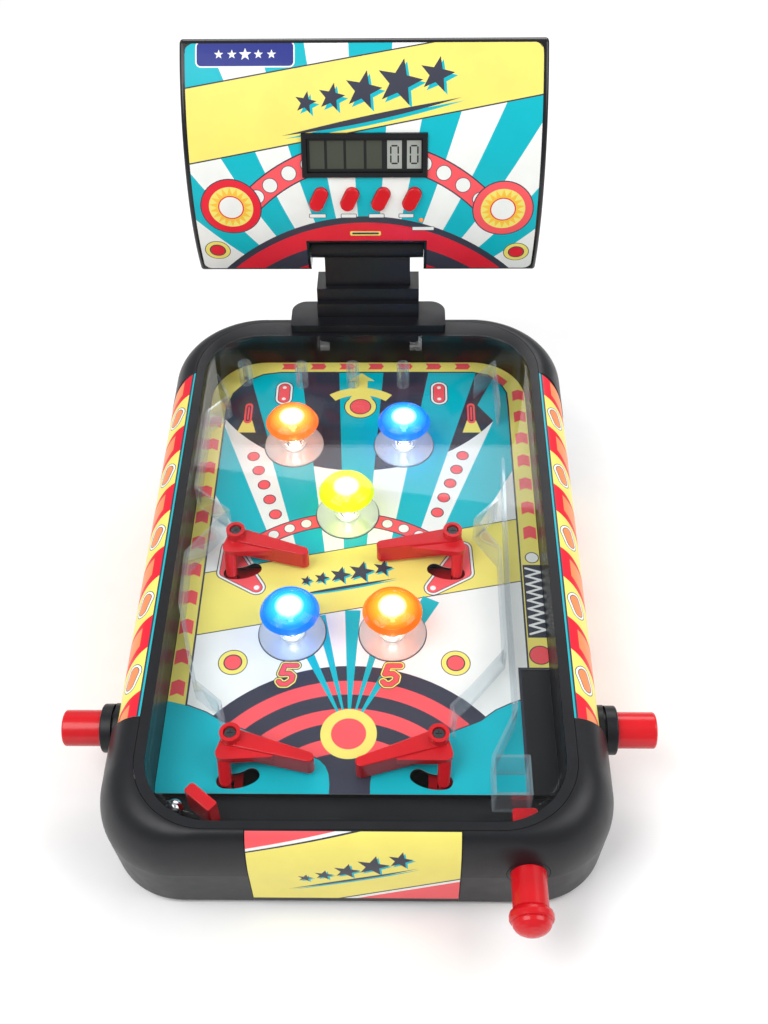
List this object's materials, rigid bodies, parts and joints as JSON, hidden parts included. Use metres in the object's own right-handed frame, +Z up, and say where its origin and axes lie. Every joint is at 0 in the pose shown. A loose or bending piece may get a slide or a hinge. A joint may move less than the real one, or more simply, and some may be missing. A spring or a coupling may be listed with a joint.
{
  "type": "tabletop pinball game",
  "caption": "Toy tabletop pinball game with a sloping window, coupled flippers, sprung bumpers and plunger, and a curved display head on a tilting neck.",
  "frame": {"origin": "middle of the whole machine's footprint, buttons, plunger and head included, on the plane its feet stand on", "axes": "+X to the player's right, +Y away from the player towards the head, +Z up"},
  "size_m": [0.376, 0.5398, 0.3378],
  "materials": {
    "black_plastic": "moulded satin",
    "black_gloss": "gloss moulding",
    "printed_sheet": "printed label with a gloss laminate",
    "clear_plastic": "clear, polished",
    "spring_steel": "drawn wire and turned screws",
    "polished_steel": "polished",
    "lit_lamp": "clear resin, lit",
    "orange_lens": "translucent",
    "blue_lens": "translucent",
    "green_lens": "translucent",
    "red_plastic": "gloss moulding",
    "rubber": "matt",
    "dark_parts": "circuit board and paper cone",
    "display_glass": "segment display under glass"
  },
  "bodies": {
    "housing": {"base_tray": "black_plastic", "battery_door": "black_plastic", "battery_contacts": "spring_steel", "rubber_feet": "rubber", "housing_screws": "spring_steel", "speaker": "dark_parts", "upper_housing": "black_plastic", "right_side_panel": "printed_sheet", "left_side_panel": "printed_sheet", "right_front_shell": "black_plastic", "left_front_shell": "black_plastic", "front_panel": "black_plastic", "rear_cap": "black_plastic", "clear_cover": "clear_plastic", "playfield_tray": "black_plastic", "board_pins": "black_plastic", "playfield_overlay": "printed_sheet", "left_guide_wall": "clear_plastic", "right_guide_wall": "clear_plastic", "lane_divider": "clear_plastic", "rear_right_guide": "clear_plastic", "lane_posts": "clear_plastic", "bumper_discs": "clear_plastic", "bumper_springs": "spring_steel", "bumper_lamps": "lit_lamp", "flipper_screws": "spring_steel", "button_collars": "black_plastic", "plunger_guide": "black_plastic", "steel_ball": "polished_steel", "neck_post": "black_plastic", "head_bracket": "black_plastic", "left_return_spring": "spring_steel", "right_return_spring": "spring_steel", "plunger_spring": "spring_steel"},
    "left_button_slide": {"left_button": "red_plastic", "left_drive_bar": "red_plastic"},
    "right_button_slide": {"right_button": "red_plastic", "right_drive_bar": "red_plastic"},
    "lower_left_flipper": {"lower_left_flipper": "red_plastic"},
    "lower_right_flipper": {"lower_right_flipper": "red_plastic"},
    "upper_left_flipper": {"upper_left_flipper": "red_plastic"},
    "upper_right_flipper": {"upper_right_flipper": "red_plastic"},
    "plunger": {"plunger": "red_plastic"},
    "ball_gate": {"ball_gate": "red_plastic"},
    "bumper_cap_rear_left": {"bumper_cap_rear_left": "orange_lens"},
    "bumper_cap_rear_right": {"bumper_cap_rear_right": "blue_lens"},
    "bumper_cap_middle": {"bumper_cap_middle": "green_lens"},
    "bumper_cap_front_left": {"bumper_cap_front_left": "blue_lens"},
    "bumper_cap_front_right": {"bumper_cap_front_right": "orange_lens"},
    "head": {"head_front_shell": "black_gloss", "head_rear_shell": "black_plastic", "head_label": "printed_sheet", "display_frame": "black_gloss", "display_module": "display_glass", "head_board": "dark_parts", "head_screws": "spring_steel"},
    "menu_button_1": {"menu_button_1": "red_plastic"},
    "menu_button_2": {"menu_button_2": "red_plastic"},
    "menu_button_3": {"menu_button_3": "red_plastic"},
    "menu_button_4": {"menu_button_4": "red_plastic"}
  },
  "joints": [
    {"name": "left_button_press", "type": "slide", "parent": "housing", "child": "left_button_slide", "axis": [1, 0, 0], "range_m": [0, 0.015], "stiffness_N_per_m": 150, "springref_m": -0.006, "deforming": ["left_return_spring"]},
    {"name": "right_button_press", "type": "slide", "parent": "housing", "child": "right_button_slide", "axis": [-1, 0, 0], "range_m": [0, 0.015], "stiffness_N_per_m": 150, "springref_m": -0.006, "deforming": ["right_return_spring"]},
    {"name": "lower_left_flipper_swing", "type": "hinge", "parent": "housing", "child": "lower_left_flipper", "pos_m": [-0.0784, -0.15103, 0.06003], "axis": [0, -0.1045, 0.9945], "range_deg": [0, 42]},
    {"name": "lower_right_flipper_swing", "type": "hinge", "parent": "housing", "child": "lower_right_flipper", "pos_m": [0.0502, -0.15103, 0.06003], "axis": [0, -0.1045, 0.9945], "range_deg": [-42, 0]},
    {"name": "upper_left_flipper_swing", "type": "hinge", "parent": "housing", "child": "upper_left_flipper", "pos_m": [-0.0896, 0.00968, 0.07692], "axis": [0, -0.1045, 0.9945], "range_deg": [0, 42]},
    {"name": "upper_right_flipper_swing", "type": "hinge", "parent": "housing", "child": "upper_right_flipper", "pos_m": [0.0626, 0.00968, 0.07692], "axis": [0, -0.1045, 0.9945], "range_deg": [-42, 0]},
    {"name": "plunger_pull", "type": "slide", "parent": "housing", "child": "plunger", "axis": [0, -0.9945, -0.1045], "range_m": [0, 0.028], "stiffness_N_per_m": 120, "springref_m": -0.008, "deforming": ["plunger_spring"]},
    {"name": "ball_gate_swing", "type": "hinge", "parent": "housing", "child": "ball_gate", "pos_m": [-0.0995, -0.18512, 0.05142], "axis": [0, -0.1045, 0.9945], "range_deg": [-20, 28], "stiffness_Nm_per_rad": 0.002},
    {"name": "bumper_cap_rear_left_tilt", "type": "hinge", "parent": "housing", "child": "bumper_cap_rear_left", "pos_m": [-0.0558, 0.11119, 0.09463], "axis": [1, 0, 0], "range_deg": [-3, 3], "stiffness_Nm_per_rad": 0.05},
    {"name": "bumper_cap_rear_right_tilt", "type": "hinge", "parent": "housing", "child": "bumper_cap_rear_right", "pos_m": [0.0284, 0.11119, 0.09463], "axis": [1, 0, 0], "range_deg": [-3, 3], "stiffness_Nm_per_rad": 0.05},
    {"name": "bumper_cap_middle_tilt", "type": "hinge", "parent": "housing", "child": "bumper_cap_middle", "pos_m": [-0.0126, 0.04167, 0.08732], "axis": [1, 0, 0], "range_deg": [-3, 3], "stiffness_Nm_per_rad": 0.05},
    {"name": "bumper_cap_front_left_tilt", "type": "hinge", "parent": "housing", "child": "bumper_cap_front_left", "pos_m": [-0.0468, -0.06285, 0.07633], "axis": [1, 0, 0], "range_deg": [-3, 3], "stiffness_Nm_per_rad": 0.05},
    {"name": "bumper_cap_front_right_tilt", "type": "hinge", "parent": "housing", "child": "bumper_cap_front_right", "pos_m": [0.021, -0.06285, 0.07633], "axis": [1, 0, 0], "range_deg": [-3, 3], "stiffness_Nm_per_rad": 0.05},
    {"name": "head_tilt", "type": "hinge", "parent": "housing", "child": "head", "pos_m": [0, 0.22071, 0.188], "axis": [-1, 0, 0], "range_deg": [-8, 12]},
    {"name": "menu_button_1_press", "type": "slide", "parent": "head", "child": "menu_button_1", "axis": [0, 0.9993, -0.0366], "range_m": [0, 0.0015], "stiffness_N_per_m": 300, "springref_m": -0.0005},
    {"name": "menu_button_2_press", "type": "slide", "parent": "head", "child": "menu_button_2", "axis": [0, 0.9993, -0.0366], "range_m": [0, 0.0015], "stiffness_N_per_m": 300, "springref_m": -0.0005},
    {"name": "menu_button_3_press", "type": "slide", "parent": "head", "child": "menu_button_3", "axis": [0, 0.9993, -0.0366], "range_m": [0, 0.0015], "stiffness_N_per_m": 300, "springref_m": -0.0005},
    {"name": "menu_button_4_press", "type": "slide", "parent": "head", "child": "menu_button_4", "axis": [0, 0.9993, -0.0366], "range_m": [0, 0.0015], "stiffness_N_per_m": 300, "springref_m": -0.0005}
  ],
  "couplings": [
    {"joint": "lower_left_flipper_swing", "follows": "left_button_press", "rad_per_m": 48.821},
    {"joint": "lower_right_flipper_swing", "follows": "right_button_press", "rad_per_m": -48.821},
    {"joint": "upper_left_flipper_swing", "follows": "left_button_press", "rad_per_m": 48.821},
    {"joint": "upper_right_flipper_swing", "follows": "right_button_press", "rad_per_m": -48.821}
  ]
}
